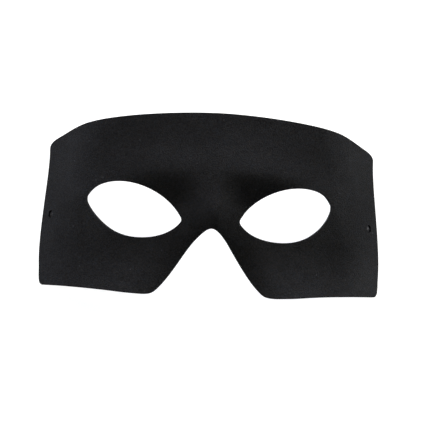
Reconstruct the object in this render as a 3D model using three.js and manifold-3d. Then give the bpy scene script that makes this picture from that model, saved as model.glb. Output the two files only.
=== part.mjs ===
// Masquerade eye mask: one sheet of black laminated fabric, pressed over a face form and cut out.
// Millimetres. +Z comes out of the face, +Y goes to the forehead, +X to the right as it is looked at.
// The mask lies face up on its two side edges, with its origin at the middle of its footprint.

import * as THREE from 'three';
import { mergeVertices } from 'three/addons/utils/BufferGeometryUtils.js';
import Module from 'manifold-3d';

// Sheet
const SHEET_THICKNESS = 1.6;
const GRID_STEP_ALONG_EDGE = 4;
const LEAST_STEPS_PER_CURVE = 3;
const GRID_RINGS_ROUND_EYE = 10;
const WELD_DISTANCE = 1e-4;

// Forehead and overall bend
const CROWN_HEIGHT = 40;
const FRONT_BEND = 0.0027;
const FRONT_BEND_PER_MM_UP = -0.000018;
const FOREHEAD_LEAN = 0.045;

// Side panels: flat, and down on the table along their outer edges, whose lowest parts its flat
// surface levels
const EDGE_LEVELLED = 0.35;
const SIDE_SLOPE = 1.38;
const SIDE_FOOT_X = 94.4;
const SIDE_LEAN = 0.0935;
const SIDE_BEND_REACH = 8.9;

// Brow
const BROW_HEIGHT = 1.9;
const BROW_TO_RIGHT = 0.19;
const BROW_Y = 18.4;
const BROW_ARCH = 0.0038;
const BROW_REACH_UP = 14.6;
const BROW_REACH_DOWN = 29.7;
const BROW_FADE_FROM = 61;
const BROW_FADE_TO = 84;

// Sockets round the eyes
const SOCKET_DEPTH = 6.2;
const SOCKET_TO_RIGHT = 0.13;
const SOCKET_TOP_Y = 19.5;
const SOCKET_FLOOR_Y = -1.6;
const SOCKET_FADE_FROM = 27;
const SOCKET_FADE_TO = 57;

// Bridge of the nose
const BRIDGE_CREST = 1.2;
const BRIDGE_FOOT = 20.1;
const BRIDGE_SPREAD = 0.052;
const BRIDGE_FADE_FROM_Y = -9.9;
const BRIDGE_FADE_TO_Y = -66.8;
const NOSE_RISE = 3.2;
const NOSE_RISE_X = 2.5;
const NOSE_RISE_Y = -7.1;
const NOSE_RISE_ACROSS = 6.1;
const NOSE_RISE_ALONG = 11.9;

// Edge beside the nose, turned in towards the cheek
const NOSE_EDGE_TURN = 0.5;
const NOSE_EDGE_TO_RIGHT = 0.16;
const NOSE_EDGE_WIDTH = 12.6;
const NOSE_EDGE_SLANT = 0.73;
const NOSE_EDGE_ROUND = 5;
const NOSE_EDGE_APEX_Y = -12;

// Cheeks, lifted towards the lower edge
const CHEEK_LIFT = 3.6;
const CHEEK_TO_RIGHT = 0.2;
const CHEEK_START_Y = -21.4;
const CHEEK_RUN = 22.6;

// The shares named TO_RIGHT make a feature stronger on the right half and weaker on the left
const HANDED_ROUND = 6;

// Unevenness of the cut in plan: the left half leans and sits a little higher, its eye hole reaches
// further out, the top of the notch lies to the right, and the right cheek is cut a little short
const LEFT_FULL_X = 60;
const LEFT_SKEW = 0.0157;
const LEFT_RISE = 0.65;
const LEFT_EYE_X = -66;
const LEFT_EYE_Y = 1;
const LEFT_EYE_ACROSS = 12;
const LEFT_EYE_ALONG = 9;
const LEFT_EYE_REACH = 1.9;
const NOTCH_Y = -14;
const NOTCH_ACROSS = 14;
const NOTCH_ALONG = 9;
const NOTCH_SHIFT = 0.85;
const CHEEK_CUT_X = 62;
const CHEEK_CUT_Y = -49;
const CHEEK_CUT_ACROSS = 30;
const CHEEK_CUT_ALONG = 12;
const CHEEK_CUT_RISE = 0.69;

// Strap slits: a lens cut in each side panel, its long way along the side edge
const SLIT_X = 89.8;
const SLIT_Y_RIGHT = -9.6;
const SLIT_Y_LEFT = -8.5;
const SLIT_LENGTH = 4;
const SLIT_WIDTH = 1.8;
const SLIT_STEPS_PER_ARC = 6;
const SLIT_CUTTER_DEPTH = 10;

// A knot of an outline: its place, the heading of the edge there in degrees anticlockwise from +X,
// and how far the curve's handles reach back and on along that heading.
const knot = (x, y, heading, back, on) => {
  const place = new THREE.Vector2(x, y);
  const along = new THREE.Vector2(1, 0);
  along.rotateAround(new THREE.Vector2(), THREE.MathUtils.degToRad(heading));
  const from = along.clone().multiplyScalar(-back).add(place);
  const to = along.clone().multiplyScalar(on).add(place);
  return { place, from, to };
};

// Right half of the outline, clockwise from the top of the forehead to the top of the nose notch
const outlineKnots = [
  knot(0, 50.6, 0, 0, 20.2),
  knot(67.4, 43.2, -13.9, 18.2, 7.4),
  knot(85.3, 35.3, -26.8, 6, 3.4),
  knot(91.6, 28.4, -92.7, 3.7, 13),
  knot(96.6, -35.8, -92.5, 18.7, 7.3),
  knot(96.2, -45.6, -95.9, 4.1, 0.2),
  knot(93.9, -48.2, 176.8, 1.8, 17.9),
  knot(37.5, -49.8, 183.4, 15.2, 6),
  knot(27.6, -46.1, 134.7, 3.5, 10.5),
  knot(8.3, -19, 129, 6.9, 4.8),
  knot(0, -12.3, 180, 2.5, 0),
];

// Right eye hole, clockwise from its inner corner: over the top to the outer corner, and back beneath
const innerCorner = knot(16.1, -8.2, 90, 1.5, 1.4);
const outerCorner = knot(66.5, 1, -90, 0.9, 0.9);
const upperLidKnots = [
  innerCorner,
  knot(17.9, -4.5, 57.3, 1.7, 10.7),
  knot(50.9, 11.2, -3.5, 13.1, 9.9),
  knot(66, 3.2, -58.7, 4.9, 1.2),
  outerCorner,
];
const lowerLidKnots = [
  outerCorner,
  knot(66.2, -1.2, -108, 0.9, 7.4),
  knot(39.5, -19, 180.1, 16.6, 10.7),
  knot(19, -12.2, 137.7, 4.2, 0.5),
  innerCorner,
];

const pathThrough = (knots) => {
  const path = new THREE.CurvePath();
  for (let i = 1; i < knots.length; i++) {
    const start = knots[i - 1];
    const end = knots[i];
    path.add(new THREE.CubicBezierCurve(start.place, start.to, end.from, end.place));
  }
  return path;
};

// Lower of two heights, with a rounded change from one to the other
const roundedLower = (a, b, reach) =>
  Math.min(a, b) - Math.max(reach - Math.abs(a - b), 0) ** 2 / (4 * reach);

const hump = (distance, reach) => Math.exp(-((distance / reach) ** 2));

// 1 on the middle line, more on the right half and less on the left, by a share of itself
const toRight = (x, share) => 1 + share * x / Math.hypot(x, HANDED_ROUND);

const foreheadHeight = (x, y) =>
  CROWN_HEIGHT - (FRONT_BEND + FRONT_BEND_PER_MM_UP * y) * x * x + FOREHEAD_LEAN * y;

const browHeight = (x, y) => {
  const above = y - (BROW_Y - BROW_ARCH * x * x);
  const fade = 1 - THREE.MathUtils.smoothstep(Math.abs(x), BROW_FADE_FROM, BROW_FADE_TO);
  const reach = above > 0 ? BROW_REACH_UP : BROW_REACH_DOWN;
  return BROW_HEIGHT * toRight(x, BROW_TO_RIGHT) * fade * hump(above, reach);
};

const bridgeShare = (x, y) => {
  const foot = BRIDGE_FOOT - BRIDGE_SPREAD * y;
  const across = 1 - THREE.MathUtils.smoothstep(Math.abs(x), BRIDGE_CREST, foot);
  return across * THREE.MathUtils.smoothstep(y, BRIDGE_FADE_TO_Y, BRIDGE_FADE_FROM_Y);
};

const socketDepth = (x, y) => {
  const fade = 1 - THREE.MathUtils.smoothstep(Math.abs(x), SOCKET_FADE_FROM, SOCKET_FADE_TO);
  const below = 1 - THREE.MathUtils.smoothstep(y, SOCKET_FLOOR_Y, SOCKET_TOP_Y);
  return SOCKET_DEPTH * toRight(x, SOCKET_TO_RIGHT) * fade * below * (1 - bridgeShare(x, y));
};

const noseHeight = (x, y) =>
  NOSE_RISE * hump(x - NOSE_RISE_X, NOSE_RISE_ACROSS) * hump(y - NOSE_RISE_Y, NOSE_RISE_ALONG);

// How far the sheet drops beside the notch: a slanted line on each side, joined by a round at the apex
const noseEdgeDrop = (x, y) => {
  const cosine = 1 / Math.hypot(1, NOSE_EDGE_SLANT);
  const sine = NOSE_EDGE_SLANT * cosine;
  const apexY = NOSE_EDGE_APEX_Y + NOSE_EDGE_ROUND / NOSE_EDGE_SLANT;
  const away = cosine * Math.hypot(x, NOSE_EDGE_ROUND) + sine * (y - apexY);
  const turn = NOSE_EDGE_TURN * toRight(x, NOSE_EDGE_TO_RIGHT);
  return turn * Math.max(NOSE_EDGE_WIDTH - away, 0) ** 2 / (2 * NOSE_EDGE_WIDTH);
};

const cheekLift = (x, y) => {
  const down = Math.max(CHEEK_START_Y - y, 0) / CHEEK_RUN;
  return CHEEK_LIFT * toRight(x, CHEEK_TO_RIGHT) * down ** 2;
};

const sideHeight = (x, y) => SIDE_SLOPE * (SIDE_FOOT_X - SIDE_LEAN * y - Math.abs(x));

// Height of the face of the mask over a place in plan
const faceHeight = (x, y) => {
  const front = foreheadHeight(x, y) + browHeight(x, y) - socketDepth(x, y)
    + noseHeight(x, y) - noseEdgeDrop(x, y) + cheekLift(x, y);
  return roundedLower(front, sideHeight(x, y), SIDE_BEND_REACH);
};

const faceNormal = (x, y) => {
  const step = 0.01;
  const slopeX = (faceHeight(x + step, y) - faceHeight(x - step, y)) / (2 * step);
  const slopeY = (faceHeight(x, y + step) - faceHeight(x, y - step)) / (2 * step);
  return new THREE.Vector3(-slopeX, -slopeY, 1).normalize();
};

// How far, to the right and up, the cut lies off the even plan
const unevenShift = (x, y) => {
  const left = THREE.MathUtils.smoothstep(-x, 0, LEFT_FULL_X);
  const eye = hump(x - LEFT_EYE_X, LEFT_EYE_ACROSS) * hump(y - LEFT_EYE_Y, LEFT_EYE_ALONG);
  const notch = hump(x, NOTCH_ACROSS) * hump(y - NOTCH_Y, NOTCH_ALONG);
  const cheek = hump(x - CHEEK_CUT_X, CHEEK_CUT_ACROSS) * hump(y - CHEEK_CUT_Y, CHEEK_CUT_ALONG);
  const sideways = NOTCH_SHIFT * notch - LEFT_SKEW * left * y - LEFT_EYE_REACH * eye;
  return new THREE.Vector3(sideways, LEFT_RISE * left + CHEEK_CUT_RISE * cheek, 0);
};

// The right half's border, clockwise from the notch: up the middle line, then round the outline
const halfBorder = () => {
  const top = outlineKnots[0].place;
  const apex = outlineKnots[outlineKnots.length - 1].place;
  const curves = [new THREE.LineCurve(apex, top), ...pathThrough(outlineKnots).curves];
  return curves.flatMap((curve) => {
    const count = Math.max(LEAST_STEPS_PER_CURVE, Math.round(curve.getLength() / GRID_STEP_ALONG_EDGE));
    return curve.getSpacedPoints(count).slice(0, -1);
  });
};

// The eye hole's points that face the border's points, spread evenly over each lid
const eyePointsFacing = (border) => {
  const reached = [0];
  border.forEach((point, i) => {
    const beside = border[(i + 1) % border.length];
    reached.push(reached[i] + point.distanceTo(beside));
  });
  const corner = outerCorner.place;
  const sideIndex = border.findIndex((point) => point.x > corner.x && point.y < corner.y);
  const side = reached[sideIndex];
  const total = reached[border.length];
  const upperLid = pathThrough(upperLidKnots);
  const lowerLid = pathThrough(lowerLidKnots);
  return border.map((point, i) => (i <= sideIndex
    ? upperLid.getPointAt(reached[i] / side)
    : lowerLid.getPointAt((reached[i] - side) / (total - side))));
};

// Face and lining of the sheet over a place of the even plan
const skinsAt = (x, y) => {
  const shift = unevenShift(x, y);
  const face = new THREE.Vector3(x, y, faceHeight(x, y));
  const lining = face.clone().addScaledVector(faceNormal(x, y), -SHEET_THICKNESS);
  return { face: face.add(shift), lining: lining.add(shift), onMiddle: Math.abs(x) < WELD_DISTANCE };
};

// Closed shell of both halves, welded on the middle line: rings of points round each eye hole,
// out to the border
const pressedShell = () => {
  const border = halfBorder();
  const eye = eyePointsFacing(border);
  const corners = [];
  for (const side of [1, -1]) {
    const quad = (...points) => {
      const [a, b, c, d] = side > 0 ? points : points.reverse();
      for (const { x, y, z } of [a, b, c, a, c, d]) {
        corners.push(x, y, z);
      }
    };
    const rings = [];
    for (let j = 0; j <= GRID_RINGS_ROUND_EYE; j++) {
      rings.push(border.map((point, i) => {
        const { x, y } = eye[i].clone().lerp(point, j / GRID_RINGS_ROUND_EYE);
        return skinsAt(side * x, y);
      }));
    }
    for (let i = 0; i < border.length; i++) {
      const next = (i + 1) % border.length;
      for (let j = 0; j < GRID_RINGS_ROUND_EYE; j++) {
        const [a, b, c, d] = [rings[j][i], rings[j][next], rings[j + 1][next], rings[j + 1][i]];
        quad(a.face, b.face, c.face, d.face);
        quad(d.lining, c.lining, b.lining, a.lining);
      }
      const [eyeHere, eyeNext] = [rings[0][i], rings[0][next]];
      quad(eyeHere.face, eyeHere.lining, eyeNext.lining, eyeNext.face);
      const [edgeHere, edgeNext] = [rings[GRID_RINGS_ROUND_EYE][i], rings[GRID_RINGS_ROUND_EYE][next]];
      if (!(edgeHere.onMiddle && edgeNext.onMiddle)) {
        quad(edgeHere.face, edgeNext.face, edgeNext.lining, edgeHere.lining);
      }
    }
  }
  const geometry = new THREE.BufferGeometry();
  geometry.setAttribute('position', new THREE.Float32BufferAttribute(corners, 3));
  return geometry;
};

// A lens through the side panel, square to it, with its long way along the side edge
const slitCutter = (side, y) => {
  const bulge = SLIT_WIDTH / 2;
  const half = SLIT_LENGTH / 2;
  const radius = (half * half + bulge * bulge) / (2 * bulge);
  const reach = Math.asin(half / radius);
  const lens = new THREE.Shape();
  lens.absarc(bulge - radius, 0, radius, -reach, reach, false);
  lens.absarc(radius - bulge, 0, radius, Math.PI - reach, Math.PI + reach, false);
  const geometry = new THREE.ExtrudeGeometry(lens, {
    depth: SLIT_CUTTER_DEPTH,
    bevelEnabled: false,
    curveSegments: SLIT_STEPS_PER_ARC,
  });
  geometry.translate(0, 0, -SLIT_CUTTER_DEPTH / 2);
  const along = new THREE.Vector3(-SIDE_LEAN * side, 1, 0).normalize();
  const normal = faceNormal(side * SLIT_X, y);
  const across = along.clone().cross(normal);
  const place = skinsAt(side * SLIT_X, y).face;
  geometry.applyMatrix4(new THREE.Matrix4().makeBasis(across, along, normal));
  return geometry.translate(place.x, place.y, place.z);
};

const wasm = await Module();
wasm.setup();

const toSolid = (geometry) => {
  geometry.deleteAttribute('normal');
  geometry.deleteAttribute('uv');
  const merged = mergeVertices(geometry, WELD_DISTANCE);
  return new wasm.Manifold(new wasm.Mesh({
    numProp: 3,
    vertProperties: new Float32Array(merged.attributes.position.array),
    triVerts: new Uint32Array(merged.index.array),
  }));
};

const toGeometry = (solid) => {
  const cut = solid.getMesh();
  const geometry = new THREE.BufferGeometry();
  geometry.setAttribute('position', new THREE.BufferAttribute(cut.vertProperties, 3));
  geometry.setIndex(new THREE.BufferAttribute(cut.triVerts, 1));
  return geometry;
};

// Moves a geometry so that its footprint is centred on the origin and it stands on z = 0
const setDown = (geometry) => {
  geometry.computeBoundingBox();
  const { min, max } = geometry.boundingBox;
  return geometry.translate(-(min.x + max.x) / 2, -(min.y + max.y) / 2, -min.z);
};

const pressed = toSolid(pressedShell());
const levelled = pressed.trimByPlane([0, 0, 1], pressed.boundingBox().min[2] + EDGE_LEVELLED);
const shell = levelled
  .subtract(toSolid(slitCutter(1, SLIT_Y_RIGHT)))
  .subtract(toSolid(slitCutter(-1, SLIT_Y_LEFT)));

const maskShell = new THREE.Mesh(
  setDown(toGeometry(shell)),
  new THREE.MeshStandardMaterial({ color: 0x1f1f21, roughness: 0.92, metalness: 0 }),
);
maskShell.name = 'mask_shell';

const mask = new THREE.Group();
mask.add(maskShell);

export default mask;
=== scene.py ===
"""Black masquerade eye mask: one sheet of fabric laminate, moulded over a face form and cut out.

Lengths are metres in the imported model's frame: +X to the right as the mask is looked at, +Y to the forehead
and +Z up out of the face. The mask lies face up on its two side edges.
"""

import math

import bmesh
import bpy
import numpy as np
from bpy.props import FloatProperty, FloatVectorProperty, IntProperty, PointerProperty
from mathutils import Matrix, Vector


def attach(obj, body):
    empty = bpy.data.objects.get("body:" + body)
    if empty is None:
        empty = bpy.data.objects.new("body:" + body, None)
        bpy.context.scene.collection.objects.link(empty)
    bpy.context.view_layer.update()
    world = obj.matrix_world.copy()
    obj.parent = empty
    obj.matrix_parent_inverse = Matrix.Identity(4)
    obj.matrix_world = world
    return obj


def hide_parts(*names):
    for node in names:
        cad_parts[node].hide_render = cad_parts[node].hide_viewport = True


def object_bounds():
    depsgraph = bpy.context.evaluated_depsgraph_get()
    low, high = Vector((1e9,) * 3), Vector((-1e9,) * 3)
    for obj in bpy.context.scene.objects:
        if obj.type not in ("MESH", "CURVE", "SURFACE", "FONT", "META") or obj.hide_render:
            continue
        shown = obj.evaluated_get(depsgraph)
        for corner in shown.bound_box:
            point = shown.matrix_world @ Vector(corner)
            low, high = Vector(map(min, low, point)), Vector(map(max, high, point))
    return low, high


bl_info = {
    "name": "Masquerade Eye Mask",
    "version": (1, 0, 0),
    "blender": (4, 5, 0),
    "location": "3D View > Sidebar > Eye Mask",
    "description": "Presses and cuts a black moulded fabric eye mask, and lights it on a pale floor",
    "category": "Add Mesh",
}

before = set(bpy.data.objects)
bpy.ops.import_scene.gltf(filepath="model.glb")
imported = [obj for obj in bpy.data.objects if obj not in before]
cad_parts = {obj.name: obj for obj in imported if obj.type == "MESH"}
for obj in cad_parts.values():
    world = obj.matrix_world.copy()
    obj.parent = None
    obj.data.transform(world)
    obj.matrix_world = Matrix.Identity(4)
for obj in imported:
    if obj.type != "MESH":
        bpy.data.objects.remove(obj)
CAD_LOW, CAD_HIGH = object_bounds()

MM = 0.001

# Outline and eye holes in plan, in mm, as on the solid. A knot is its place, the heading of the edge there
# in degrees anticlockwise from +X, and how far the curve's handles reach back and on along that heading.
OUTLINE_KNOTS = (
    (0, 50.6, 0, 0, 20.2),
    (67.4, 43.2, -13.9, 18.2, 7.4),
    (85.3, 35.3, -26.8, 6, 3.4),
    (91.6, 28.4, -92.7, 3.7, 13),
    (96.6, -35.8, -92.5, 18.7, 7.3),
    (96.2, -45.6, -95.9, 4.1, 0.2),
    (93.9, -48.2, 176.8, 1.8, 17.9),
    (37.5, -49.8, 183.4, 15.2, 6),
    (27.6, -46.1, 134.7, 3.5, 10.5),
    (8.3, -19, 129, 6.9, 4.8),
    (0, -12.3, 180, 2.5, 0),
)
EYE_INNER_CORNER = (16.1, -8.2, 90, 1.5, 1.4)
EYE_OUTER_CORNER = (66.5, 1, -90, 0.9, 0.9)
UPPER_LID_KNOTS = (
    EYE_INNER_CORNER,
    (17.9, -4.5, 57.3, 1.7, 10.7),
    (50.9, 11.2, -3.5, 13.1, 9.9),
    (66, 3.2, -58.7, 4.9, 1.2),
    EYE_OUTER_CORNER,
)
LOWER_LID_KNOTS = (
    EYE_OUTER_CORNER,
    (66.2, -1.2, -108, 0.9, 7.4),
    (39.5, -19, 180.1, 16.6, 10.7),
    (19, -12.2, 137.7, 4.2, 0.5),
    EYE_INNER_CORNER,
)

# Strap slits: each is cut like a C that bulges to the side edge, round a small tongue. A higher power makes
# the outer arc blunter and the tongue narrower.
SLIT_X = 89.3 * MM
SLIT_Y_RIGHT = -9.4 * MM
SLIT_Y_LEFT = -8.3 * MM
SLIT_LENGTH = 4.7 * MM
SLIT_SLANT = -0.15
SLIT_OUTER_BULGE = 1.75 * MM
SLIT_OUTER_POWER = 6
SLIT_TONGUE_BULGE = 0.85 * MM
SLIT_TONGUE_POWER = 3

# The slits' walls are painted in shade, darker than the other cut edges, and their edges are crisper. A hump
# of this reach over each slit finds them, from the first of the two heights on, and fully from the second.
SLIT_WALL_REACH = 3 * MM
SLIT_WALL_FADE = (0.2, 0.5)
SLIT_WALL_PAINTED_SHADE = 0.25
SLIT_EDGE_ROUND_SHARE = 0.3

# Grid of the blank: its steps along the border, the rings round an eye hole, the narrow ring beside each
# cut edge, and the square round a slit, with where its loops lie on the way from the slit to the square
BORDER_STEP = 0.85 * MM
LEAST_STEPS_PER_CURVE = 6
FINE_SAMPLES_PER_CURVE = 200
RINGS_ROUND_EYE = 34
RIM_SUPPORT = 0.55 * MM
PATCH_HALF_CELLS = 4
PATCH_SHARES = (0.0, 0.1, 0.22, 0.38, 0.6)
WELD_DISTANCE = 1e-6

# The attribute that tells how deep in the sheet a point lies: 0 on the face, 1 on the lining
THROUGH = "through"

# The press form's sizes: socket name, value in metres or a bare ratio, and whether it is a length
FORM_SIZES = {
    "Front Bend": (2.7, False),
    "Front Bend Change": (-18.0, False),
    "Forehead Lean": (0.045, False),
    "Side Foot": (0.0944, True),
    "Side Lean": (0.0935, False),
    "Side Bend Reach": (0.0089, True),
    "Brow Place": (0.0184, True),
    "Brow Arch": (3.8, False),
    "Brow Reach Up": (0.0146, True),
    "Brow Reach Down": (0.0297, True),
    "Brow Fade From": (0.061, True),
    "Brow Fade To": (0.084, True),
    "Brow To Right": (0.19, False),
    "Socket Top": (0.0195, True),
    "Socket Floor": (-0.0016, True),
    "Socket Fade From": (0.027, True),
    "Socket Fade To": (0.057, True),
    "Socket To Right": (0.13, False),
    "Bridge Crest": (0.0012, True),
    "Bridge Foot": (0.0201, True),
    "Bridge Spread": (0.052, False),
    "Bridge Fade From": (-0.0099, True),
    "Bridge Fade To": (-0.0668, True),
    "Nose Rise Place": (-0.0071, True),
    "Nose Rise Side": (0.0025, True),
    "Nose Rise Across": (0.0061, True),
    "Nose Rise Along": (0.0119, True),
    "Nose Edge Turn": (0.5, False),
    "Nose Edge Width": (0.0126, True),
    "Nose Edge Slant": (0.73, False),
    "Nose Edge Round": (0.005, True),
    "Nose Edge Apex": (-0.012, True),
    "Nose Edge To Right": (0.16, False),
    "Cheek Start": (-0.0214, True),
    "Cheek Run": (0.0226, True),
    "Cheek To Right": (0.2, False),
    "Handed Round": (0.006, True),
    "Left Full": (0.06, True),
    "Left Skew": (0.0157, False),
    "Left Rise": (0.00065, True),
    "Left Eye Place": (-0.066, True),
    "Left Eye Up": (0.001, True),
    "Left Eye Across": (0.012, True),
    "Left Eye Along": (0.009, True),
    "Left Eye Reach": (0.0019, True),
    "Notch Place": (-0.014, True),
    "Notch Across": (0.014, True),
    "Notch Along": (0.009, True),
    "Notch Shift": (0.00085, True),
    "Cheek Cut Place": (0.062, True),
    "Cheek Cut Low": (-0.049, True),
    "Cheek Cut Across": (0.03, True),
    "Cheek Cut Along": (0.012, True),
    "Cheek Cut Rise": (0.00069, True),
    "Slit Lip Place": (0.089, True),
    "Slit Lip Across": (0.0008, True),
    "Slit Lip Along": (0.00136, True),
    "Slit Lip Height": (0.0005, True),
    "Undulation Width": (0.013, True),
}

# Soft dents and swellings of this one pressing: name, then in mm the place, how far it reaches across and
# along, and its height
SOFT_DENTS = (
    ("Forehead Left", -20, 33, 30, 8.1, -0.23),
    ("Forehead Top Right", 20, 47, 18.4, 14.5, -0.32),
    ("Forehead Right", 51, 36.7, 11.6, 9.4, 0.23),
    ("Forehead Top Left", -19, 48.6, 24.5, 5, 0.17),
    ("Brow Left", -29, 16, 16.4, 5, -0.18),
    ("Brow Right", 17.6, 20.3, 20, 6.6, 0.15),
    ("Bridge Right", 17.6, 0.2, 25, 7.7, 0.27),
    ("Lower Lid Right", 42, -19, 17, 6.2, -0.29),
    ("Cheek Left", -47.5, -32.5, 10.7, 6.9, -0.21),
)

# Paler and darker places of the cloth: the scuffs over the left eye are real marks, the slit tongues carry
# painted highlights, and the other places are painted light and shade. Name, then in mm the place and how
# far it reaches across and along, and last how much paler it is, or darker below 0
SCUFFS_AND_PAINTED_LIGHT_PLACES = (
    # Painted highlights: the glints on the bent-up slit tongues
    ("right slit tongue painted glint", 88.75, -9.7, 0.4, 0.7, 5.5),
    ("left slit tongue painted glint", -88.9, -8.2, 0.4, 0.75, 1.4),
    ("scuff over left eye", -60, 13.2, 0.9, 0.7, 0.9),
    ("scuff beside left eye", -63.9, 11.4, 0.9, 0.7, 0.7),
    # Painted light and shade: soft paler and darker patches over the form
    ("left temple", -65, -9, 9, 11, 0.45),
    ("left side edge", -79, 23, 3, 22, 0.1),
    ("right lower corner", 90, -40, 11, 15, 0.35),
    ("right cheek", 73, -27, 11, 13, -0.16),
    ("under right eye", 46, -13, 14, 12, 0.3),
    ("right temple", 84, 0, 10, 14, -0.15),
    ("beside right eye", 70, 4, 6, 10, 0.12),
    ("left temple top", -61, 43, 7, 12, 0.16),
    ("left forehead", -42, 39, 12, 8, -0.1),
    ("nose", -2, -4, 7, 8, 0.17),
    ("over notch", 2, -13, 4, 3, 0.2),
    ("right of notch", 8, -9, 5, 5, -0.16),
    ("beside nose", 11, 6, 5, 6, 0.22),
)

# Studio lights: name, place round the mask in degrees (0 at the forehead, 90 at the right), height over the
# floor in degrees, power in watts, and colour
STUDIO_LIGHTS = (
    ("forehead_low", 0, 8, 29, (0.85, 0.95, 1.2)),
    ("forehead_high", -10, 15, 22, (0.95, 0.95, 1.1)),
    ("right_corner_low", 45, 8, 16, (1.0, 1.0, 1.0)),
    ("right_corner_high", 45, 25, 24, (1.15, 1.05, 0.85)),
    ("right_low", 90, 8, 13, (0.85, 1.0, 1.15)),
    ("left_corner_low", -45, 8, 5, (0.6, 0.9, 1.5)),
    ("left_corner_high", -45, 25, 27.5, (1.05, 1.0, 0.95)),
    ("left_high", -90, 25, 6.5, (1.0, 1.05, 0.95)),
)
# Each light is a square of this side, at this distance from the point that the camera aims at
LIGHT_SIDE = 0.7
LIGHT_DISTANCE = 1.6

# Face cloth: how strongly nap, tufts and clouds show in its shade, their widths, its darkest and palest
# shade, and its tinges from cool to warm
NAP_SHARE = 0.9
NAP_ROUGHNESS = 0.7
NAP_DEPTH = 0.35 * MM
NAP_SHADES = (0.2, 1.8)
TUFT_SHARE = 0.08
TUFT_WIDTH = 3 * MM
CLOUD_SHARE = 0.1
CLOUD_WIDTH = 9 * MM
TINGE_WIDTH = 0.9 * MM
COOL_TINGE = (0.85, 1.0, 1.15)
WARM_TINGE = (1.15, 1.0, 0.85)

# Lint: the width of its cells, which of them hold a speck, the speck's radius as a share of the cell, and
# how much paler it is. In each pair the change starts at the first value and ends at the second.
LINT_CELL = 12 * MM
LINT_CHOSEN = (0.55, 0.9)
LINT_RADIUS = (0.01, 0.04)
LINT_PALENESS = 3.5

# Cut edge: where its core starts and ends on the way through the sheet, and how it frays
CORE_START = (0.16, 0.26)
CORE_END = (0.78, 0.88)
FRAY_WIDTH = 0.35 * MM
FRAY_SHARE = 0.2
FRAY_DEPTH = 0.1 * MM
FRAY_STRENGTH = 0.6

# Lining: fine ribs over felt, and its darkest and palest shade. A wave texture at scale 1 turns by 20
# radians in each metre.
RIB_WIDTH = 1.1 * MM
RIB_WAVER = 1.2
RIB_SHARE = 0.3
RIB_DEPTH = 0.12 * MM
RIB_STRENGTH = 0.5
FELT_WIDTH = 0.6 * MM
FELT_SHARE = 0.35
FELT_HEIGHT_SHARE = 0.6
LINING_LEAST_SHADE = 0.35
LINING_SHADES = (0.75, 1.3)
WAVE_TURN = 20.0

# Floor: its half side, how far from the mask its glow starts to rise and is full, and the white of the glow
# and of the background. The lower glow under and round the mask is painted shade.
FLOOR_HALF = 6.0
FLOOR_DIM_REACH = 0.25
FLOOR_FULL_REACH = 0.6
WHITE = (1.0, 1.0, 1.0, 1.0)

# Camera: the point that it aims at, and the width of its view there
AIM = Vector((2.3, -5.19, 30.0)) * MM
VIEW_WIDTH = 0.2365
SENSOR_MM = 36.0
CLIP_NEAR = 0.01
CLIP_FAR = 20.0

# A mix node's sockets for colours
MIX_FIRST = 6
MIX_SECOND = 7
MIX_RESULT = 2


class Field:
    """A number that a node tree works out at every point, written as ordinary arithmetic."""

    def __init__(self, tree, socket):
        self.tree = tree
        self.socket = socket

    def math(self, operation, *operands):
        node = self.tree.nodes.new("ShaderNodeMath")
        node.operation = operation
        for slot, operand in zip(node.inputs, operands):
            if isinstance(operand, Field):
                self.tree.links.new(operand.socket, slot)
            else:
                slot.default_value = operand
        return Field(self.tree, node.outputs[0])

    def __add__(self, other):
        return self.math("ADD", self, other)

    def __radd__(self, other):
        return self.math("ADD", other, self)

    def __sub__(self, other):
        return self.math("SUBTRACT", self, other)

    def __rsub__(self, other):
        return self.math("SUBTRACT", other, self)

    def __mul__(self, other):
        return self.math("MULTIPLY", self, other)

    def __rmul__(self, other):
        return self.math("MULTIPLY", other, self)

    def __truediv__(self, other):
        return self.math("DIVIDE", self, other)

    def __rtruediv__(self, other):
        return self.math("DIVIDE", other, self)

    def squared(self):
        return self * self

    def size(self):
        return self.math("ABSOLUTE", self)

    def root(self):
        return self.math("SQRT", self)

    def least(self, other):
        return self.math("MINIMUM", self, other)

    def most(self, other):
        return self.math("MAXIMUM", self, other)

    def above(self, other):
        return self.math("GREATER_THAN", self, other)

    def clamped(self):
        """This, kept from 0 to 1."""
        return self.most(0.0).least(1.0)

    def hump(self, reach):
        """1 where this is 0, falling away smoothly over the reach on both sides."""
        return ((self / reach).squared() * -1.0).power_of_e()

    def power_of_e(self):
        return self.math("EXPONENT", self)

    def step(self, start, end):
        """0 up to start, 1 from end on, and an eased change between them."""
        node = self.tree.nodes.new("ShaderNodeMapRange")
        node.interpolation_type = "SMOOTHSTEP"
        self.tree.links.new(self.socket, node.inputs["Value"])
        for name, value in (("From Min", start), ("From Max", end)):
            if isinstance(value, Field):
                self.tree.links.new(value.socket, node.inputs[name])
            else:
                node.inputs[name].default_value = value
        return Field(self.tree, node.outputs["Result"])


def rounded_lower(a, b, reach):
    """The lower of two heights, with a rounded change from one to the other."""
    overlap = (reach - (a - b).size()).most(0.0)
    return a.least(b) - overlap.squared() / (reach * 4.0)


def to_right(x, size, share):
    """1 on the middle line, and up to a share more on the right half and less on the left."""
    return 1.0 + size[share] * x / (x.squared() + size["Handed Round"].squared()).root()


def plan_spot(x, y, place_x, place_y, across, along):
    """A soft spot over a place in plan, 1 in its middle; the place and its reaches are in mm."""
    return (x - place_x * MM).hump(across * MM) * (y - place_y * MM).hump(along * MM)


def forehead_height(x, y, size):
    """The front's bow from side to side, which is flatter higher up."""
    bend = size["Front Bend"] + size["Front Bend Change"] * y
    return size["Crown Height"] - bend * x.squared() + size["Forehead Lean"] * y


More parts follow.
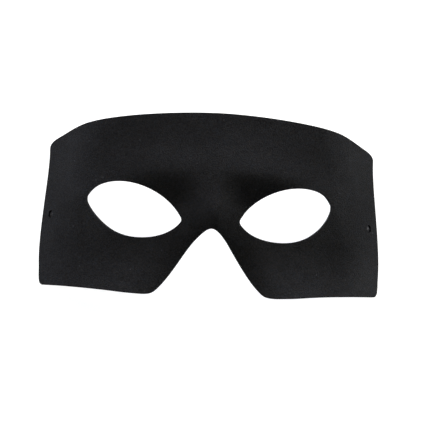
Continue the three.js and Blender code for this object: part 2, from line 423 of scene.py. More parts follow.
def brow_height(x, y, size):
    """The brow's ridge, arched down to the temples, where it fades."""
    above = y - (size["Brow Place"] - size["Brow Arch"] * x.squared())
    is_above = above.above(0.0)
    reach = is_above * size["Brow Reach Up"] + (1.0 - is_above) * size["Brow Reach Down"]
    fade = 1.0 - x.size().step(size["Brow Fade From"], size["Brow Fade To"])
    return size["Brow Height"] * to_right(x, size, "Brow To Right") * fade * above.hump(reach)


def bridge_share(x, y, size):
    """1 on the bridge of the nose, 0 beside it, fading downwards."""
    foot = size["Bridge Foot"] - size["Bridge Spread"] * y
    across = 1.0 - x.size().step(size["Bridge Crest"], foot)
    return across * y.step(size["Bridge Fade To"], size["Bridge Fade From"])


def socket_depth(x, y, size):
    """How far the sheet sinks below the brow, on both sides of the bridge."""
    fade = 1.0 - x.size().step(size["Socket Fade From"], size["Socket Fade To"])
    below = 1.0 - y.step(size["Socket Floor"], size["Socket Top"])
    depth = size["Socket Depth"] * to_right(x, size, "Socket To Right")
    return depth * fade * below * (1.0 - bridge_share(x, y, size))


def nose_height(x, y, size):
    """The rise over the top of the nose."""
    along = (y - size["Nose Rise Place"]).hump(size["Nose Rise Along"])
    return size["Nose Rise"] * (x - size["Nose Rise Side"]).hump(size["Nose Rise Across"]) * along


def nose_edge_drop(x, y, size):
    """How far the sheet drops beside the notch: a slanted line each side, joined by a round at the apex."""
    slant = size["Nose Edge Slant"]
    cosine = 1.0 / (slant.squared() + 1.0).root()
    apex = size["Nose Edge Apex"] + size["Nose Edge Round"] / slant
    sideways = (x.squared() + size["Nose Edge Round"].squared()).root()
    away = cosine * sideways + slant * cosine * (y - apex)
    inside = (size["Nose Edge Width"] - away).most(0.0)
    turn = size["Nose Edge Turn"] * to_right(x, size, "Nose Edge To Right")
    return turn * inside.squared() / (size["Nose Edge Width"] * 2.0)


def cheek_lift(x, y, size):
    """How far the sheet lifts towards its lower edge."""
    lift = size["Cheek Lift"] * to_right(x, size, "Cheek To Right")
    return lift * ((size["Cheek Start"] - y).most(0.0) / size["Cheek Run"]).squared()


def dents_height(x, y, size):
    """Height of the soft dents and swellings together."""
    total = 0.0
    for name, *spot, _ in SOFT_DENTS:
        total = total + size[name] * plan_spot(x, y, *spot)
    return total


def side_height(x, y, size):
    """The plain slope of the side panels, up from the side edges."""
    return size["Side Slope"] * (size["Side Foot"] - size["Side Lean"] * y - x.size())


def face_height(x, y, size):
    """Height of the face of the mask over a place in plan: the same form as the solid's."""
    front = (
        forehead_height(x, y, size)
        + brow_height(x, y, size)
        - socket_depth(x, y, size)
        + nose_height(x, y, size)
        - nose_edge_drop(x, y, size)
        + cheek_lift(x, y, size)
        + dents_height(x, y, size)
    )
    return rounded_lower(front, side_height(x, y, size), size["Side Bend Reach"])


def uneven_shift(x, y, size):
    """How far, to the right and up, the real cut lies off the even plan."""
    left = (x * -1.0).step(0.0, size["Left Full"])
    eye = (x - size["Left Eye Place"]).hump(size["Left Eye Across"])
    eye = eye * (y - size["Left Eye Up"]).hump(size["Left Eye Along"])
    notch = x.hump(size["Notch Across"]) * (y - size["Notch Place"]).hump(size["Notch Along"])
    cheek = (x - size["Cheek Cut Place"]).hump(size["Cheek Cut Across"])
    cheek = cheek * (y - size["Cheek Cut Low"]).hump(size["Cheek Cut Along"])
    sideways = size["Notch Shift"] * notch - size["Left Skew"] * left * y - size["Left Eye Reach"] * eye
    return sideways, size["Left Rise"] * left + size["Cheek Cut Rise"] * cheek


class EyeMaskShape(bpy.types.PropertyGroup):
    """Sizes of the moulded sheet."""

    thickness: FloatProperty(
        name="Sheet Thickness", description="Thickness of the fabric laminate",
        default=1.6 * MM, min=0.5 * MM, subtype="DISTANCE", unit="LENGTH",
    )
    crown_height: FloatProperty(
        name="Crown Height", description="Height of the middle of the forehead over the side edges",
        default=40 * MM, subtype="DISTANCE", unit="LENGTH",
    )
    side_slope: FloatProperty(
        name="Side Slope", description="Rise of the side panels for each metre inwards",
        default=1.38, min=0.3, max=3.0,
    )
    brow_height: FloatProperty(
        name="Brow Height", description="How far the brow stands out",
        default=1.9 * MM, subtype="DISTANCE", unit="LENGTH",
    )
    socket_depth: FloatProperty(
        name="Socket Depth", description="How far the sheet sinks round the eyes",
        default=6.2 * MM, subtype="DISTANCE", unit="LENGTH",
    )
    nose_rise: FloatProperty(
        name="Nose Rise", description="How far the top of the nose stands out",
        default=3.2 * MM, subtype="DISTANCE", unit="LENGTH",
    )
    cheek_lift: FloatProperty(
        name="Cheek Lift", description="How far the sheet lifts at the lower edge",
        default=3.6 * MM, subtype="DISTANCE", unit="LENGTH",
    )
    undulation: FloatProperty(
        name="Undulation", description="Depth of the soft unevenness that the press leaves",
        default=0.12 * MM, min=0.0, subtype="DISTANCE", unit="LENGTH",
    )
    edge_round: FloatProperty(
        name="Edge Round", description="Radius of the cut edges",
        default=0.3 * MM, min=0.05 * MM, subtype="DISTANCE", unit="LENGTH",
    )
    edge_segments: IntProperty(
        name="Edge Segments", description="Faces across each rounded edge", default=3, min=1, max=6,
    )


class EyeMaskCloth(bpy.types.PropertyGroup):
    """Colours and finish of the cloth."""

    face_colour: FloatVectorProperty(
        name="Face Colour", description="Colour of the brushed face fabric",
        subtype="COLOR", size=3, min=0.0, max=1.0, default=(0.0100, 0.0102, 0.0109),
    )
    edge_colour: FloatVectorProperty(
        name="Cut Edge Colour", description="Colour of the core where the sheet is cut",
        subtype="COLOR", size=3, min=0.0, max=1.0, default=(0.015, 0.015, 0.0165),
    )
    lining_colour: FloatVectorProperty(
        name="Lining Colour", description="Colour of the plain lining",
        subtype="COLOR", size=3, min=0.0, max=1.0, default=(0.016, 0.016, 0.0175),
    )
    grain: FloatProperty(
        name="Grain", description="Width of the fabric's fine grain",
        default=0.55 * MM, min=0.05 * MM, subtype="DISTANCE", unit="LENGTH",
    )


class EyeMaskStage(bpy.types.PropertyGroup):
    """Floor, light and camera."""

    floor_colour: FloatVectorProperty(
        name="Floor Colour", description="Colour of the pale floor",
        subtype="COLOR", size=3, min=0.0, max=1.0, default=(0.4, 0.4, 0.4),
    )
    # Below 1 this glow paints shade under and round the mask
    floor_glow: FloatProperty(
        name="Floor Glow", description="Light of the lit white table under the mask; it is 1 round about",
        default=0.84, min=0.0, max=1.0,
    )
    brightness: FloatProperty(
        name="Brightness", description="Strength of all the studio lights together",
        default=1.0, min=0.0, max=10.0,
    )
    camera_distance: FloatProperty(
        name="Camera Distance", description="Distance of the camera from the point that it aims at",
        default=0.9, min=0.3, subtype="DISTANCE", unit="LENGTH",
    )
    camera_roll: FloatProperty(
        name="Camera Roll", description="Turn of the camera round its own line of sight",
        default=math.radians(2.1), subtype="ANGLE", unit="ROTATION",
    )
    camera_yaw: FloatProperty(
        name="Camera Yaw", description="How far the camera looks from one side",
        default=math.radians(0.6), subtype="ANGLE", unit="ROTATION",
    )


def handle_end(place, heading, reach):
    """Where a curve's handle ends, from its knot's place along the heading; a reach below 0 goes back."""
    turn = math.radians(heading)
    return np.array(place) + reach * np.array([math.cos(turn), math.sin(turn)])


def curve_between(start, end):
    """A fine line, in metres, along the curve from one knot to the next."""
    *first, leaving, _, reach_on = start
    *last, arriving, reach_back, _ = end
    share = np.linspace(0.0, 1.0, FINE_SAMPLES_PER_CURVE)[:, None]
    return (
        (1 - share) ** 3 * np.array(first)
        + 3 * (1 - share) ** 2 * share * handle_end(first, leaving, reach_on)
        + 3 * (1 - share) * share**2 * handle_end(last, arriving, -reach_back)
        + share**3 * np.array(last)
    ) * MM


def line_through(knots):
    """One fine line through all the knots."""
    curves = [curve_between(start, end) for start, end in zip(knots, knots[1:])]
    return np.vstack([curves[0], *(curve[1:] for curve in curves[1:])])


def lengths_along(line):
    """How far along a line each of its points lies."""
    steps = np.linalg.norm(np.diff(line, axis=0), axis=1)
    return np.concatenate([[0.0], np.cumsum(steps)])


def spread(line, shares):
    """Points at the given shares of a line's length."""
    reached = lengths_along(line)
    wanted = shares * reached[-1]
    return np.column_stack([np.interp(wanted, reached, line[:, k]) for k in (0, 1)])


def stepped(line):
    """Evenly spaced points along a line, from its start up to but not including its end."""
    steps = max(LEAST_STEPS_PER_CURVE, round(lengths_along(line)[-1] / BORDER_STEP))
    return spread(line, np.linspace(0.0, 1.0, steps, endpoint=False))


def half_border():
    """The right half's border, clockwise from the notch: up the middle line, then round the outline."""
    middle_line = np.array([OUTLINE_KNOTS[-1][:2], OUTLINE_KNOTS[0][:2]]) * MM
    curves = [curve_between(start, end) for start, end in zip(OUTLINE_KNOTS, OUTLINE_KNOTS[1:])]
    return np.vstack([stepped(line) for line in (middle_line, *curves)])


def eye_points_facing(border):
    """The eye hole's points that face the border's points, spread evenly over each lid."""
    reached = lengths_along(np.vstack([border, border[:1]]))
    corner_x, corner_y = np.array(EYE_OUTER_CORNER[:2]) * MM
    side = int(np.argmax((border[:, 0] > corner_x) & (border[:, 1] < corner_y)))
    above = reached[: side + 1] / reached[side]
    below = (reached[side + 1 : -1] - reached[side]) / (reached[-1] - reached[side])
    upper = spread(line_through(UPPER_LID_KNOTS), above)
    lower = spread(line_through(LOWER_LID_KNOTS), below)
    return np.vstack([upper, lower])


def ring_shares(length):
    """Shares of the way from the eye hole to the border, with a narrow ring beside each cut edge."""
    rim = RIM_SUPPORT / length
    inner = np.linspace(0.0, 1.0, RINGS_ROUND_EYE - 1)[:, None] * (1 - 2 * rim) + rim
    return np.vstack([np.zeros_like(rim)[None], inner, np.ones_like(rim)[None]])


def ring_faces(rings, around, ring, place):
    """Faces between the rings, but for the square round the slit."""
    square_rings = range(ring - PATCH_HALF_CELLS, ring + PATCH_HALF_CELLS)
    square_places = range(place - PATCH_HALF_CELLS, place + PATCH_HALF_CELLS)
    faces = []
    for j in range(rings - 1):
        for i in range(around):
            if j in square_rings and i in square_places:
                continue
            here = j * around + i
            beside = j * around + (i + 1) % around
            faces.append((here, beside, beside + around, here + around))
    return faces


def square_loop(around, ring, place):
    """The grid's points once round the square, from the middle of its far side along the border."""
    low_ring, high_ring = ring - PATCH_HALF_CELLS, ring + PATCH_HALF_CELLS
    low_place, high_place = place - PATCH_HALF_CELLS, place + PATCH_HALF_CELLS
    loop = [(j, high_place) for j in range(ring, high_ring)]
    loop += [(high_ring, i) for i in range(high_place, low_place, -1)]
    loop += [(j, low_place) for j in range(high_ring, low_ring, -1)]
    loop += [(low_ring, i) for i in range(low_place, high_place)]
    loop += [(j, high_place) for j in range(low_ring, ring)]
    return [j * around + i for j, i in loop]


def slit_loop(count, centre):
    """The cut, from its lower tip up the outer arc, and back down round the tongue."""
    half = count // 2
    up = 2 * np.arange(half) / half - 1
    outer = np.column_stack([SLIT_OUTER_BULGE * (1 - up**SLIT_OUTER_POWER), up * SLIT_LENGTH / 2])
    tongue = np.column_stack([SLIT_TONGUE_BULGE * (1 - up**2) ** SLIT_TONGUE_POWER, -up * SLIT_LENGTH / 2])
    loop = np.vstack([outer, tongue])
    loop[:, 0] += SLIT_SLANT * loop[:, 1]
    return loop + centre


def half_blank(slit_y):
    """Flat points and faces of one half: rings round the eye hole, with a fine patch at the slit."""
    slit_centre = np.array([SLIT_X, slit_y])
    border = half_border()
    eye = eye_points_facing(border)
    shares = ring_shares(np.linalg.norm(border - eye, axis=1))
    points = (eye[None] + shares[:, :, None] * (border - eye)[None]).reshape(-1, 2)
    around = len(border)
    nearest = int(np.argmin(np.linalg.norm(points - slit_centre, axis=1)))
    ring, place = divmod(nearest, around)
    faces = ring_faces(len(shares), around, ring, place)
    square = square_loop(around, ring, place)
    slit = slit_loop(len(square), slit_centre)
    loops = []
    for share in PATCH_SHARES:
        loops.append(list(range(len(points), len(points) + len(square))))
        points = np.vstack([points, slit + share * (points[square] - slit)])
    loops.append(square)
    for here, there in zip(loops, loops[1:]):
        for k in range(len(square)):
            after = (k + 1) % len(square)
            faces.append((here[k], there[k], there[after], here[after]))
    return points, faces


def flat_blank():
    """The whole sheet, cut out and still flat."""
    sheet = bmesh.new()
    for side, slit_y in ((1, SLIT_Y_RIGHT), (-1, SLIT_Y_LEFT)):
        points, faces = half_blank(slit_y)
        corners = [sheet.verts.new((side * x, y, 0.0)) for x, y in points]
        for face in faces:
            sheet.faces.new([corners[k] for k in (face if side > 0 else face[::-1])])
    bmesh.ops.remove_doubles(sheet, verts=sheet.verts, dist=WELD_DISTANCE)
    bmesh.ops.recalc_face_normals(sheet, faces=sheet.faces)
    if sum(face.normal.z for face in sheet.faces) < 0:
        bmesh.ops.reverse_faces(sheet, faces=sheet.faces)
    mesh = bpy.data.meshes.new("flat_blank")
    sheet.to_mesh(mesh)
    sheet.free()
    return mesh


def plan_position(tree, place):
    """The x and y of a place."""
    parts = tree.nodes.new("ShaderNodeSeparateXYZ")
    tree.links.new(place, parts.inputs[0])
    return Field(tree, parts.outputs["X"]), Field(tree, parts.outputs["Y"])


def noise_field(tree, place, width, seed, detail=2.0, roughness=0.5):
    """Noise from -1 to 1, about as wide as the given width."""
    node = tree.nodes.new("ShaderNodeTexNoise")
    node.noise_dimensions = "4D"
    node.inputs["W"].default_value = seed
    node.inputs["Detail"].default_value = detail
    node.inputs["Roughness"].default_value = roughness
    if isinstance(width, Field):
        tree.links.new((1.0 / width).socket, node.inputs["Scale"])
    else:
        node.inputs["Scale"].default_value = 1.0 / width
    tree.links.new(place, node.inputs["Vector"])
    return (Field(tree, node.outputs[0]) - 0.5) * 2.0


def slit_middle(x):
    """How far up the mask the slit on this side has its middle."""
    return SLIT_Y_LEFT + x.above(0.0) * (SLIT_Y_RIGHT - SLIT_Y_LEFT)


def slit_walls(x, y):
    """1 on the walls of the slits, 0 away from them."""
    across = (x.size() - SLIT_X).hump(SLIT_WALL_REACH)
    along = (y - slit_middle(x)).hump(SLIT_WALL_REACH)
    return (across * along).step(*SLIT_WALL_FADE)


def slit_lip(x, y, size):
    """The small tongue inside each slit, pushed up by the punch."""
    across = (x.size() - size["Slit Lip Place"]).hump(size["Slit Lip Across"])
    along = (y - slit_middle(x)).hump(size["Slit Lip Along"])
    return size["Slit Lip Height"] * across * along


def new_press_tree(sizes):
    """A tree that takes a blank and the named sizes, and gives a mask."""
    tree = bpy.data.node_groups.new("Press Eye Mask", "GeometryNodeTree")
    tree.interface.new_socket("Blank", in_out="INPUT", socket_type="NodeSocketGeometry")
    for name, (value, is_length) in sizes.items():
        made = tree.interface.new_socket(name, in_out="INPUT", socket_type="NodeSocketFloat")
        made.default_value = value
        if is_length:
            made.subtype = "DISTANCE"
    tree.interface.new_socket("Mask", in_out="OUTPUT", socket_type="NodeSocketGeometry")
    return tree


def pressed_sheet(tree, blank, size):
    """The blank pressed over the form, with its cut drawn a little uneven."""
    place = tree.nodes.new("GeometryNodeInputPosition").outputs[0]
    x, y = plan_position(tree, place)
    uneven = noise_field(tree, place, size["Undulation Width"], seed=3.0) * size["Undulation"]
    height = face_height(x, y, size) + slit_lip(x, y, size) + uneven
    sideways, up = uneven_shift(x, y, size)
    shift = tree.nodes.new("ShaderNodeCombineXYZ")
    for axis, field in (("X", sideways), ("Y", up), ("Z", height)):
        tree.links.new(field.socket, shift.inputs[axis])
    moved = tree.nodes.new("GeometryNodeSetPosition")
    tree.links.new(blank, moved.inputs["Geometry"])
    tree.links.new(shift.outputs[0], moved.inputs["Offset"])
    return moved.outputs[0]


def thick_sheet(tree, sheet, thickness):
    """The sheet with walls and a lining, closed, and the selections of its walls and of its lining."""
    new, link = tree.nodes.new, tree.links.new
    wall = new("GeometryNodeExtrudeMesh")
    wall.mode = "FACES"
    wall.inputs["Individual"].default_value = False
    link(sheet, wall.inputs["Mesh"])
    link((thickness * -1.0).socket, wall.inputs["Offset Scale"])
    through = new("GeometryNodeStoreNamedAttribute")
    through.data_type, through.domain = "FLOAT", "POINT"
    through.inputs["Name"].default_value = THROUGH
    through.inputs["Value"].default_value = 1.0
    link(wall.outputs["Mesh"], through.inputs["Geometry"])
    link(wall.outputs["Top"], through.inputs["Selection"])
    turned = new("GeometryNodeFlipFaces")
    link(through.outputs[0], turned.inputs[0])
    joined = new("GeometryNodeJoinGeometry")
    link(turned.outputs[0], joined.inputs[0])
    link(sheet, joined.inputs[0])
    welded = new("GeometryNodeMergeByDistance")
    welded.inputs["Distance"].default_value = WELD_DISTANCE
    link(joined.outputs[0], welded.inputs["Geometry"])
    return welded.outputs[0], wall.outputs["Side"], wall.outputs["Top"]


def rim_marked(tree, sheet, walls):
    """The sheet with a bevel weight on the edges between its walls and its faces, less at the slits."""
    new, link = tree.nodes.new, tree.links.new
    on_faces = new("GeometryNodeFieldOnDomain")
    on_faces.data_type, on_faces.domain = "FLOAT", "FACE"
    link(walls, on_faces.inputs[0])
    wall_share = Field(tree, on_faces.outputs[0])
    # Just one of the two faces at such an edge is a wall
    is_rim = wall_share.math("COMPARE", wall_share, 0.5, 0.25)
    place = new("GeometryNodeInputPosition").outputs[0]
    roundness = 1.0 - slit_walls(*plan_position(tree, place)) * (1.0 - SLIT_EDGE_ROUND_SHARE)
    rim = new("GeometryNodeStoreNamedAttribute")
    rim.data_type, rim.domain = "FLOAT", "EDGE"
    rim.inputs["Name"].default_value = "bevel_weight_edge"
    link(sheet, rim.inputs["Geometry"])
    link((is_rim * roundness).socket, rim.inputs["Value"])
    return rim.outputs[0]


def press_tree(sizes, materials):
    """Geometry Nodes that press the flat blank, give it its thickness and dress its three surfaces."""
    tree = new_press_tree(sizes)
    new, link = tree.nodes.new, tree.links.new
    entry = new("NodeGroupInput")
    size = {name: Field(tree, entry.outputs[name]) for name in sizes}
    pressed = pressed_sheet(tree, entry.outputs["Blank"], size)
    sheet, walls, lining = thick_sheet(tree, pressed, size["Sheet Thickness"])
    smooth = new("GeometryNodeSetShadeSmooth")
    link(rim_marked(tree, sheet, walls), smooth.inputs[0])
    last = new("GeometryNodeRealizeInstances")
    link(smooth.outputs[0], last.inputs[0])
    for material, selection in zip(materials, (None, walls, lining)):
        dressed = new("GeometryNodeSetMaterial")
        dressed.inputs["Material"].default_value = material
        link(last.outputs[0], dressed.inputs["Geometry"])
        if selection:
            link(selection, dressed.inputs["Selection"])
        last = dressed
    leaving = new("NodeGroupOutput")
    link(last.outputs[0], leaving.inputs["Mask"])
    return tree


def set_inputs(modifier, values):
    """Sets a Geometry Nodes modifier's inputs by their sockets' identifiers."""
    for item in modifier.node_group.interface.items_tree:
        if item.item_type == "SOCKET" and item.in_out == "INPUT" and item.name in values:
            modifier[item.identifier] = values[item.name]


def as_plain_mesh(made, name):
    """A new object at the origin that holds the evaluated mesh of another, which is removed."""
    bpy.context.view_layer.update()
    evaluated = made.evaluated_get(bpy.context.evaluated_depsgraph_get())
    mesh = bpy.data.meshes.new_from_object(evaluated)
    mesh.name = name
    flat = made.data
    bpy.data.objects.remove(made)
    bpy.data.meshes.remove(flat)
    piece = bpy.data.objects.new(name, mesh)
    bpy.context.scene.collection.objects.link(piece)
    return piece


def set_down(mesh):
    """Moves a mesh so that its box stands on the solid's: same middle, same underside."""
    places = np.empty(len(mesh.vertices) * 3)
    mesh.vertices.foreach_get("co", places)
    places = places.reshape(-1, 3)
    low, high = places.min(0), places.max(0)
    middle = (np.array(CAD_LOW) + np.array(CAD_HIGH)) / 2
    shift = middle - (low + high) / 2
    shift[2] = CAD_LOW.z - low[2]
    mesh.transform(Matrix.Translation(shift))


def principled(name, **constants):
    """A new node material, its tree and its Principled shader, with the given plain values."""
    material = bpy.data.materials.new(name)
    material.use_nodes = True
    shader = material.node_tree.nodes["Principled BSDF"]
    for socket, value in constants.items():
        shader.inputs[socket.replace("_", " ")].default_value = value
    return material, material.node_tree, shader


def object_place(tree):
    """Where a point lies in its object, in metres."""
    return tree.nodes.new("ShaderNodeTexCoord").outputs["Object"]


def scaled(colour, factor):
    """A colour times a factor."""
    return [part * factor for part in colour]


def tinged(colour, tinge):
    """A colour times a tinge, part by part."""
    return [part * hue for part, hue in zip(colour, tinge)]


def mixed_colour(tree, share, first, second):
    """From the first colour to the second by a share of 0 to 1; a colour is plain or a socket."""
    node = tree.nodes.new("ShaderNodeMix")
    node.data_type = "RGBA"
    tree.links.new(share.socket, node.inputs["Factor"])
    for socket, colour in ((node.inputs[MIX_FIRST], first), (node.inputs[MIX_SECOND], second)):
        if isinstance(colour, bpy.types.NodeSocket):
            tree.links.new(colour, socket)
        else:
            socket.default_value = (*colour, 1.0)
    return node.outputs[MIX_RESULT]


def finish_surface(tree, shader, colour, height, strength, depth):
    """Gives a shader its colour and its bumps, of a depth in metres."""
    tree.links.new(colour, shader.inputs["Base Color"])
    bump = tree.nodes.new("ShaderNodeBump")
    bump.inputs["Strength"].default_value = strength
    bump.inputs["Distance"].default_value = depth
    tree.links.new(height.socket, bump.inputs["Height"])
    tree.links.new(bump.outputs["Normal"], shader.inputs["Normal"])


def nap_colour(tree, place, nap, face_colour):
    """Dark between the nap and pale on its tips, with soft clouds and fine tinges."""
    tufts = noise_field(tree, place, TUFT_WIDTH, seed=2.0)
    clouds = noise_field(tree, place, CLOUD_WIDTH, seed=4.0)
    tinge = (0.5 + noise_field(tree, place, TINGE_WIDTH, seed=9.0)).clamped()
    cool = tinged(face_colour, COOL_TINGE)
    warm = tinged(face_colour, WARM_TINGE)
    shade = (0.5 + nap * NAP_SHARE + tufts * TUFT_SHARE + clouds * CLOUD_SHARE).clamped()
    deep, tips = (mixed_colour(tree, tinge, scaled(cool, part), scaled(warm, part)) for part in NAP_SHADES)
    return mixed_colour(tree, shade, deep, tips)


def scuffed_and_painted_light_colour(tree, place, colour):
    """A colour made paler at the scuffs, and by painted light, shade and highlights at the other places."""
    x, y = plan_position(tree, place)
    paleness = 1.0
    for _, *spot, paler in SCUFFS_AND_PAINTED_LIGHT_PLACES:
        paleness = paleness + plan_spot(x, y, *spot) * paler
    painted_light_and_scuffs = tree.nodes.new("ShaderNodeVectorMath")
    painted_light_and_scuffs.operation = "SCALE"
    tree.links.new(colour, painted_light_and_scuffs.inputs[0])
    tree.links.new(paleness.socket, painted_light_and_scuffs.inputs["Scale"])
    return painted_light_and_scuffs.outputs[0]


def lint_specks(tree, place):
    """1 on the specks of lint, 0 elsewhere."""
    scattered = tree.nodes.new("ShaderNodeTexVoronoi")
    scattered.voronoi_dimensions = "2D"
    scattered.inputs["Scale"].default_value = 1.0 / LINT_CELL
    tree.links.new(place, scattered.inputs["Vector"])
    chosen = Field(tree, scattered.outputs["Color"]).step(*LINT_CHOSEN)
    return chosen * (1.0 - Field(tree, scattered.outputs["Distance"]).step(*LINT_RADIUS))


def brushed_face_cloth(cloth):
    """Matte brushed fabric: fine nap, soft clouds, scuffs, painted light, shade and glints, and lint specks.
    """
    material, tree, shader = principled(
        "brushed_black_cloth",
        Roughness=1.0, Sheen_Weight=0.01, Sheen_Roughness=0.5, Specular_IOR_Level=0.01,
    )
    place = object_place(tree)
    nap = noise_field(tree, place, cloth.grain, seed=8.0, roughness=NAP_ROUGHNESS)
    # The scuffs and the painted light, shade and glints are laid into the colour here
    colour = scuffed_and_painted_light_colour(tree, place, nap_colour(tree, place, nap, cloth.face_colour))
    lint_colour = scaled(cloth.face_colour, LINT_PALENESS)
    colour = mixed_colour(tree, lint_specks(tree, place), colour, lint_colour)
    finish_surface(tree, shader, colour, nap, strength=1.0, depth=NAP_DEPTH)
    return material


def cut_edge_core(cloth):
    """The cut through face, core and lining, with painted shade on the slits' walls."""
    material, tree, shader = principled(
        "cut_edge", Roughness=1.0, Sheen_Weight=0.01, Sheen_Roughness=0.5, Specular_IOR_Level=0.01,
    )
    place = object_place(tree)
    layer = tree.nodes.new("ShaderNodeAttribute")
    layer.attribute_name = THROUGH
    depth = Field(tree, layer.outputs["Fac"])
    fray = noise_field(tree, place, FRAY_WIDTH, seed=5.0, detail=3.0)
    core = depth.step(*CORE_START) * (1.0 - depth.step(*CORE_END))
    core = (core + fray * FRAY_SHARE).clamped()
    colour = mixed_colour(tree, core, cloth.face_colour, cloth.edge_colour)
    # Painted shade: the slits' walls are darkened
    slit_painted_shade = slit_walls(*plan_position(tree, place))
    colour = mixed_colour(tree, slit_painted_shade, colour, scaled(cloth.edge_colour, SLIT_WALL_PAINTED_SHADE))
    finish_surface(tree, shader, colour, fray, strength=FRAY_STRENGTH, depth=FRAY_DEPTH)
    return material


def plain_lining(cloth):
    """Plain knitted lining with fine ribs from brow to cheek."""
    material, tree, shader = principled(
        "knit_lining", Roughness=0.95, Sheen_Weight=0.08, Sheen_Roughness=0.5, Specular_IOR_Level=0.1,
    )
    place = object_place(tree)
    ribs = tree.nodes.new("ShaderNodeTexWave")
    ribs.wave_type, ribs.bands_direction = "BANDS", "X"
    ribs.inputs["Scale"].default_value = math.tau / (WAVE_TURN * RIB_WIDTH)
    ribs.inputs["Distortion"].default_value = RIB_WAVER
    ribs.inputs["Detail"].default_value = 1.0
    tree.links.new(place, ribs.inputs["Vector"])
    rib = Field(tree, ribs.outputs["Fac"])
    felt = noise_field(tree, place, FELT_WIDTH, seed=6.0, detail=3.0)
    shade = (LINING_LEAST_SHADE + rib * RIB_SHARE + felt * FELT_SHARE).clamped()
    deep, tips = (scaled(cloth.lining_colour, part) for part in LINING_SHADES)
    colour = mixed_colour(tree, shade, deep, tips)
    height = rib + felt * FELT_HEIGHT_SHARE
    finish_surface(tree, shader, colour, height, strength=RIB_STRENGTH, depth=RIB_DEPTH)
    return material


def press_sizes(shape):
    """The press's sizes by the names of their sockets: value, and whether it is a length."""
    chosen = {
        "Sheet Thickness": (shape.thickness, True),
        "Crown Height": (shape.crown_height, True),
        "Side Slope": (shape.side_slope, False),
        "Brow Height": (shape.brow_height, True),
        "Socket Depth": (shape.socket_depth, True),
        "Nose Rise": (shape.nose_rise, True),
        "Cheek Lift": (shape.cheek_lift, True),
        "Undulation": (shape.undulation, True),
    }
    dents = {name: (height * MM, True) for name, *_, height in SOFT_DENTS}
    return {**chosen, **FORM_SIZES, **dents}


class MESH_OT_press_eye_mask(bpy.types.Operator):
    """Cut the flat blank, press it over the face form and finish its cloth."""

    bl_idname = "mesh.press_eye_mask"
    bl_label = "Press Eye Mask"
    bl_options = {"REGISTER", "UNDO"}

    def execute(self, context):
        shape = context.scene.eye_mask_shape
        cloth = context.scene.eye_mask_cloth
        materials = [brushed_face_cloth(cloth), cut_edge_core(cloth), plain_lining(cloth)]
        blank = bpy.data.objects.new("blank", flat_blank())
        for material in materials:
            blank.data.materials.append(material)
        context.scene.collection.objects.link(blank)
        sizes = press_sizes(shape)
        press = blank.modifiers.new("press", "NODES")
        press.node_group = press_tree(sizes, materials)
        set_inputs(press, {name: value for name, (value, _) in sizes.items()})
        rounding = blank.modifiers.new("edges", "BEVEL")
        rounding.limit_method = "WEIGHT"
        rounding.width = shape.edge_round
        rounding.segments = shape.edge_segments
        mask = as_plain_mesh(blank, "mask_sheet")
        if not mask.data.polygons:
            raise RuntimeError("the press made no faces")
        set_down(mask.data)
        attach(mask, "root")
        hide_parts("mask_shell")
        return {"FINISHED"}


class SCENE_OT_set_eye_mask_stage(bpy.types.Operator):
    """Lay the pale floor, hang the soft studio lights and aim the camera."""

    bl_idname = "scene.set_eye_mask_stage"
    bl_label = "Set Eye Mask Stage"
    bl_options = {"REGISTER", "UNDO"}

    def execute(self, context):
        stage = context.scene.eye_mask_stage
        lay_floor(stage)
        light_studio(stage)
        aim_camera(stage)
        return {"FINISHED"}


def lay_floor(stage):
    """A broad floor that glows white, less under the mask and close round it, which paints shade there."""
    sheet = bmesh.new()
    bmesh.ops.create_grid(sheet, x_segments=1, y_segments=1, size=FLOOR_HALF)
    mesh = bpy.data.meshes.new("floor")
    sheet.to_mesh(mesh)
    sheet.free()
    material, tree, shader = principled(
        "pale_floor", Base_Color=(*stage.floor_colour, 1.0), Roughness=1.0, Specular_IOR_Level=0.0,
        Emission_Color=WHITE,
    )
    length = tree.nodes.new("ShaderNodeVectorMath")
    length.operation = "LENGTH"
    tree.links.new(object_place(tree), length.inputs[0])
    # Painted shade: the glow is dimmer near the mask
    away = Field(tree, length.outputs["Value"]).step(FLOOR_DIM_REACH, FLOOR_FULL_REACH)
    glow = stage.floor_glow + away * (1.0 - stage.floor_glow)
    tree.links.new(glow.socket, shader.inputs["Emission Strength"])
    mesh.materials.append(material)
    floor = bpy.data.objects.new("floor", mesh)
    bpy.context.scene.collection.objects.link(floor)


def light_studio(stage):
    """Soft square lamps round the mask, and a white background that gives no light of its own."""
    scene = bpy.context.scene
    scene.world = bpy.data.worlds.new("studio")
    scene.world.use_nodes = True
    tree = scene.world.node_tree
    background = tree.nodes["Background"]
    background.inputs["Color"].default_value = WHITE
    seen = tree.nodes.new("ShaderNodeLightPath")
    tree.links.new(seen.outputs["Is Camera Ray"], background.inputs["Strength"])
    scene.view_settings.view_transform = "Standard"
    for name, round_angle, height_angle, power, colour in STUDIO_LIGHTS:
        lamp = bpy.data.lights.new(name, "AREA")
        lamp.shape, lamp.size = "SQUARE", LIGHT_SIDE
        lamp.energy = power * stage.brightness
        lamp.color = colour
        turn, rise = math.radians(round_angle), math.radians(height_angle)
        outward = Vector((math.sin(turn) * math.cos(rise), math.cos(turn) * math.cos(rise), math.sin(rise)))
        light = bpy.data.objects.new(name, lamp)
        light.location = AIM + outward * LIGHT_DISTANCE
        light.rotation_euler = (-outward).to_track_quat("-Z", "Y").to_euler()
        light.visible_camera = False
        scene.collection.objects.link(light)


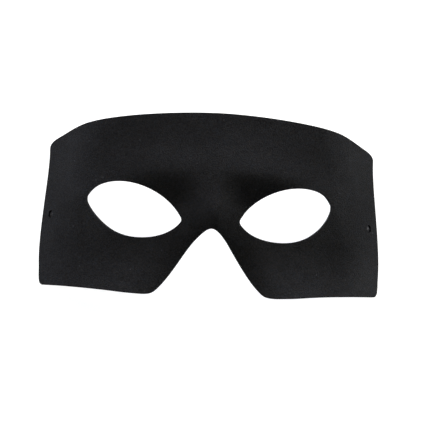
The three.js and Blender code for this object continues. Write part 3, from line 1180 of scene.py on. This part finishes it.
def aim_camera(stage):
    """A camera that looks straight down on the mask, but for its small yaw and roll."""
    scene = bpy.context.scene
    data = bpy.data.cameras.new("camera")
    data.sensor_width = SENSOR_MM
    data.lens = SENSOR_MM * stage.camera_distance / VIEW_WIDTH
    data.clip_start, data.clip_end = CLIP_NEAR, CLIP_FAR
    camera = bpy.data.objects.new("camera", data)
    turn = Matrix.Rotation(-stage.camera_yaw, 3, "Y") @ Matrix.Rotation(stage.camera_roll, 3, "Z")
    camera.rotation_euler = turn.to_euler()
    camera.location = AIM + turn @ Vector((0.0, 0.0, stage.camera_distance))
    scene.collection.objects.link(camera)
    scene.camera = camera


class VIEW3D_PT_eye_mask(bpy.types.Panel):
    """Sizes, cloth and stage of the eye mask."""

    bl_label = "Eye Mask"
    bl_idname = "VIEW3D_PT_eye_mask"
    bl_space_type = "VIEW_3D"
    bl_region_type = "UI"
    bl_category = "Eye Mask"

    def draw(self, context):
        layout = self.layout
        layout.use_property_split = True
        for heading, group, operator in (
            ("Sheet", context.scene.eye_mask_shape, MESH_OT_press_eye_mask.bl_idname),
            ("Cloth", context.scene.eye_mask_cloth, None),
            ("Stage", context.scene.eye_mask_stage, SCENE_OT_set_eye_mask_stage.bl_idname),
        ):
            box = layout.box()
            box.label(text=heading)
            for name in group.__annotations__:
                box.prop(group, name)
            if operator:
                box.operator(operator)


CLASSES = (
    EyeMaskShape,
    EyeMaskCloth,
    EyeMaskStage,
    MESH_OT_press_eye_mask,
    SCENE_OT_set_eye_mask_stage,
    VIEW3D_PT_eye_mask,
)


def register():
    for kind in CLASSES:
        bpy.utils.register_class(kind)
    bpy.types.Scene.eye_mask_shape = PointerProperty(type=EyeMaskShape)
    bpy.types.Scene.eye_mask_cloth = PointerProperty(type=EyeMaskCloth)
    bpy.types.Scene.eye_mask_stage = PointerProperty(type=EyeMaskStage)


def unregister():
    del bpy.types.Scene.eye_mask_stage
    del bpy.types.Scene.eye_mask_cloth
    del bpy.types.Scene.eye_mask_shape
    for kind in reversed(CLASSES):
        bpy.utils.unregister_class(kind)


def main():
    """Makes the mask and its stage."""
    register()
    bpy.ops.mesh.press_eye_mask()
    bpy.ops.scene.set_eye_mask_stage()


if __name__ == "__main__":
    main()
